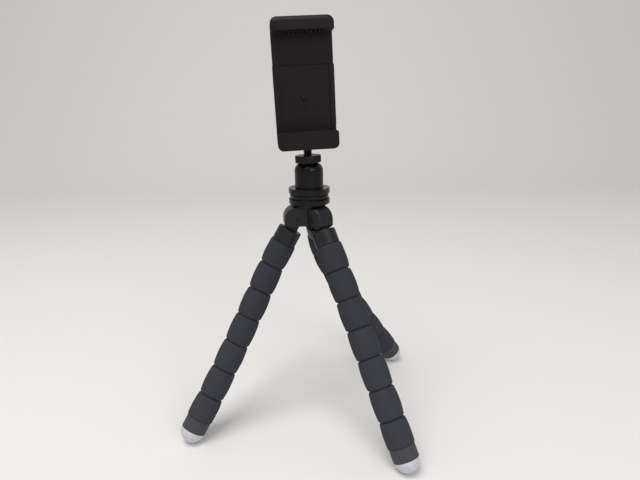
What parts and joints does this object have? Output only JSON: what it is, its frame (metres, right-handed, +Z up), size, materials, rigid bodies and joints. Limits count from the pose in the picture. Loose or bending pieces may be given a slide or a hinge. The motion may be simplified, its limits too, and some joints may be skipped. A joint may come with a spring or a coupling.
{
  "type": "flexible phone tripod",
  "caption": "Mini tripod with bendable foam-covered legs, a small locking ball head and a sprung clamp that grips a phone",
  "frame": {"origin": "middle of the whole object's footprint, on the table it stands on", "axes": "+Z up; -Y is the side that the phone clamp's jaws point to, turned 4.6 degrees towards +X"},
  "size_m": [0.1892, 0.168, 0.3062],
  "materials": {
    "foam": "matte",
    "leg_plastic": "satin",
    "head_black": "gloss",
    "black_metal": "satin",
    "clamp_black": "satin",
    "pad_rubber": "matte",
    "steel": "satin",
    "brass": "satin",
    "seat_nylon": "satin",
    "wire": "satin",
    "sleeve_rubber": "satin",
    "tip_rubber": "satin"
  },
  "bodies": {
    "hub": {"hub_body": "leg_plastic", "hub_plug": "leg_plastic", "head_screw": "steel", "head_base": "head_black", "seat_spring": "steel", "ball_seat": "seat_nylon", "left_hinge_pin": "black_metal", "right_hinge_pin": "black_metal", "rear_hinge_pin": "black_metal"},
    "housing": {"ball_housing": "head_black"},
    "lock_ring": {"lock_ring": "head_black"},
    "ball": {"ball_stud": "black_metal"},
    "nut": {"knurled_nut": "black_metal"},
    "clamp": {"clamp_body": "clamp_black", "threaded_insert": "brass", "back_cover": "clamp_black", "cover_screws": "steel", "lower_pad": "pad_rubber", "spring_left": "steel", "spring_right": "steel", "face_screw": "black_metal"},
    "slider": {"sliding_jaw": "clamp_black", "upper_pad": "pad_rubber"},
    "left_leg_1": {"left_collar": "leg_plastic", "left_foam_1": "foam", "left_core_wire": "wire"},
    "left_leg_2": {"left_foam_2": "foam"},
    "left_leg_3": {"left_foam_3": "foam"},
    "left_leg_4": {"left_foam_4": "foam"},
    "left_leg_5": {"left_foam_5": "foam"},
    "left_leg_6": {"left_foam_6": "foam"},
    "left_leg_7": {"left_foam_7": "foam", "left_foot_sleeve": "sleeve_rubber", "left_foot_tip": "tip_rubber"},
    "right_leg_1": {"right_collar": "leg_plastic", "right_foam_1": "foam", "right_core_wire": "wire"},
    "right_leg_2": {"right_foam_2": "foam"},
    "right_leg_3": {"right_foam_3": "foam"},
    "right_leg_4": {"right_foam_4": "foam"},
    "right_leg_5": {"right_foam_5": "foam"},
    "right_leg_6": {"right_foam_6": "foam"},
    "right_leg_7": {"right_foam_7": "foam", "right_foot_sleeve": "sleeve_rubber", "right_foot_tip": "tip_rubber"},
    "rear_leg_1": {"rear_collar": "leg_plastic", "rear_foam_1": "foam", "rear_core_wire": "wire"},
    "rear_leg_2": {"rear_foam_2": "foam"},
    "rear_leg_3": {"rear_foam_3": "foam"},
    "rear_leg_4": {"rear_foam_4": "foam"},
    "rear_leg_5": {"rear_foam_5": "foam"},
    "rear_leg_6": {"rear_foam_6": "foam"},
    "rear_leg_7": {"rear_foam_7": "foam", "rear_foot_sleeve": "sleeve_rubber", "rear_foot_tip": "tip_rubber"}
  },
  "joints": [
    {"name": "head_pan", "type": "hinge", "parent": "hub", "child": "housing", "pos_m": [0.00725, 0.0112, 0.19802], "axis": [0, 0, 1], "continuous": true},
    {"name": "lock_ring_turn", "type": "hinge", "parent": "hub", "child": "lock_ring", "pos_m": [0.00725, 0.0112, 0.18742], "axis": [0, 0, 1], "range_deg": [0, 90]},
    {"name": "ball_tilt", "type": "hinge", "parent": "housing", "child": "ball", "pos_m": [0.00725, 0.0112, 0.19802], "axis": [0.9961, 0.0802, 0.0365], "range_deg": [-23, 23]},
    {"name": "nut_turn", "type": "hinge", "parent": "ball", "child": "nut", "pos_m": [0.00695, 0.0112, 0.20631], "axis": [-0.0366, 0, 0.9993], "continuous": true},
    {"name": "clamp_swivel", "type": "hinge", "parent": "ball", "child": "clamp", "pos_m": [0.00656, 0.0112, 0.21701], "axis": [-0.0366, 0, 0.9993], "range_deg": [-180, 180]},
    {"name": "jaw_slide", "type": "slide", "parent": "clamp", "child": "slider", "axis": [-0.0366, 0, 0.9993], "range_m": [0, 0.028], "stiffness_N_per_m": 300, "springref_m": -0.02, "deforming": ["spring_left", "spring_right"]},
    {"name": "left_splay", "type": "hinge", "parent": "hub", "child": "left_leg_1", "pos_m": [-0.00303, 0.00963, 0.16412], "axis": [-0.1513, 0.9885, 0], "range_deg": [-24, 10]},
    {"name": "left_bend_1", "type": "hinge", "parent": "left_leg_1", "child": "left_leg_2", "pos_m": [-0.02341, 0.00651, 0.12707], "axis": [0.8269, 0.2902, -0.4817], "range_deg": [-14.75, 35.25], "deforming": ["left_core_wire"]},
    {"name": "left_bend_2", "type": "hinge", "parent": "left_leg_2", "child": "left_leg_3", "pos_m": [-0.03292, 0.00104, 0.10754], "axis": [-0.5129, 0.8584, 0], "range_deg": [-25.69, 24.31], "deforming": ["left_core_wire"]},
    {"name": "left_bend_3", "type": "hinge", "parent": "left_leg_3", "child": "left_leg_4", "pos_m": [-0.04245, -0.00487, 0.08815], "axis": [0.7238, 0.4659, -0.5089], "range_deg": [-24.03, 25.97], "deforming": ["left_core_wire"]},
    {"name": "left_bend_4", "type": "hinge", "parent": "left_leg_4", "child": "left_leg_5", "pos_m": [-0.05209, -0.0113, 0.06898], "axis": [-0.5689, 0.8224, 0], "range_deg": [-26.61, 23.39], "deforming": ["left_core_wire"]},
    {"name": "left_bend_5", "type": "hinge", "parent": "left_leg_5", "child": "left_leg_6", "pos_m": [-0.06196, -0.01836, 0.05015], "axis": [0.6673, 0.4951, -0.5565], "range_deg": [-23.94, 26.06], "deforming": ["left_core_wire"]},
    {"name": "left_bend_6", "type": "hinge", "parent": "left_leg_6", "child": "left_leg_7", "pos_m": [-0.07211, -0.02615, 0.03177], "axis": [-0.6222, 0.7828, 0], "range_deg": [-27.53, 22.47], "deforming": ["left_core_wire"]},
    {"name": "right_splay", "type": "hinge", "parent": "hub", "child": "right_leg_1", "pos_m": [0.01375, 0.00308, 0.16412], "axis": [-0.7804, -0.6252, 0], "range_deg": [-24, 10]},
    {"name": "right_bend_1", "type": "hinge", "parent": "right_leg_1", "child": "right_leg_2", "pos_m": [0.02749, -0.01406, 0.12785], "axis": [-0.5289, 0.6711, -0.5195], "range_deg": [-25.48, 24.52], "deforming": ["right_core_wire"]},
    {"name": "right_bend_2", "type": "hinge", "parent": "right_leg_2", "child": "right_leg_3", "pos_m": [0.03464, -0.02328, 0.10873], "axis": [-0.7942, -0.6076, 0], "range_deg": [-25.26, 24.74], "deforming": ["right_core_wire"]},
    {"name": "right_bend_3", "type": "hinge", "parent": "right_leg_3", "child": "right_leg_4", "pos_m": [0.04172, -0.03266, 0.08966], "axis": [-0.5079, 0.6814, -0.5271], "range_deg": [-25.38, 24.62], "deforming": ["right_core_wire"]},
    {"name": "right_bend_4", "type": "hinge", "parent": "right_leg_4", "child": "right_leg_5", "pos_m": [0.04875, -0.04222, 0.07066], "axis": [-0.8092, -0.5875, 0], "range_deg": [-25.4, 24.6], "deforming": ["right_core_wire"]},
    {"name": "right_bend_5", "type": "hinge", "parent": "right_leg_5", "child": "right_leg_6", "pos_m": [0.05573, -0.05196, 0.05174], "axis": [-0.4863, 0.6879, -0.5387], "range_deg": [-25.39, 24.61], "deforming": ["right_core_wire"]},
    {"name": "right_bend_6", "type": "hinge", "parent": "right_leg_6", "child": "right_leg_7", "pos_m": [0.06268, -0.06192, 0.03292], "axis": [-0.8238, -0.5669, 0], "range_deg": [-25.53, 24.47], "deforming": ["right_core_wire"]},
    {"name": "rear_splay", "type": "hinge", "parent": "hub", "child": "rear_leg_1", "pos_m": [0.01103, 0.02089, 0.16412], "axis": [0.9317, -0.3633, 0], "range_deg": [-24, 10]},
    {"name": "rear_bend_1", "type": "hinge", "parent": "rear_leg_1", "child": "rear_leg_2", "pos_m": [0.01834, 0.03965, 0.12681], "axis": [-0.5156, -0.7143, -0.4733], "range_deg": [-38.55, 11.45], "deforming": ["rear_core_wire"]},
    {"name": "rear_bend_2", "type": "hinge", "parent": "rear_leg_2", "child": "rear_leg_3", "pos_m": [0.0268, 0.04681, 0.10734], "axis": [0.614, -0.7893, 0], "range_deg": [-26.3, 23.7], "deforming": ["rear_core_wire"]},
    {"name": "rear_bend_3", "type": "hinge", "parent": "rear_leg_3", "child": "rear_leg_4", "pos_m": [0.03617, 0.05351, 0.08813], "axis": [-0.7126, -0.4669, -0.5237], "range_deg": [-27.43, 22.57], "deforming": ["rear_core_wire"]},
    {"name": "rear_bend_4", "type": "hinge", "parent": "rear_leg_4", "child": "rear_leg_5", "pos_m": [0.04642, 0.05966, 0.06918], "axis": [0.4784, -0.8781, 0], "range_deg": [-26.3, 23.7], "deforming": ["rear_core_wire"]},
    {"name": "rear_bend_5", "type": "hinge", "parent": "rear_leg_5", "child": "rear_leg_6", "pos_m": [0.05752, 0.06514, 0.05051], "axis": [-0.7562, -0.3357, -0.5618], "range_deg": [-27.61, 22.39], "deforming": ["rear_core_wire"]},
    {"name": "rear_bend_6", "type": "hinge", "parent": "rear_leg_6", "child": "rear_leg_7", "pos_m": [0.06941, 0.06987, 0.03213], "axis": [0.3303, -0.9439, 0], "range_deg": [-26.3, 23.7], "deforming": ["rear_core_wire"]}
  ]
}
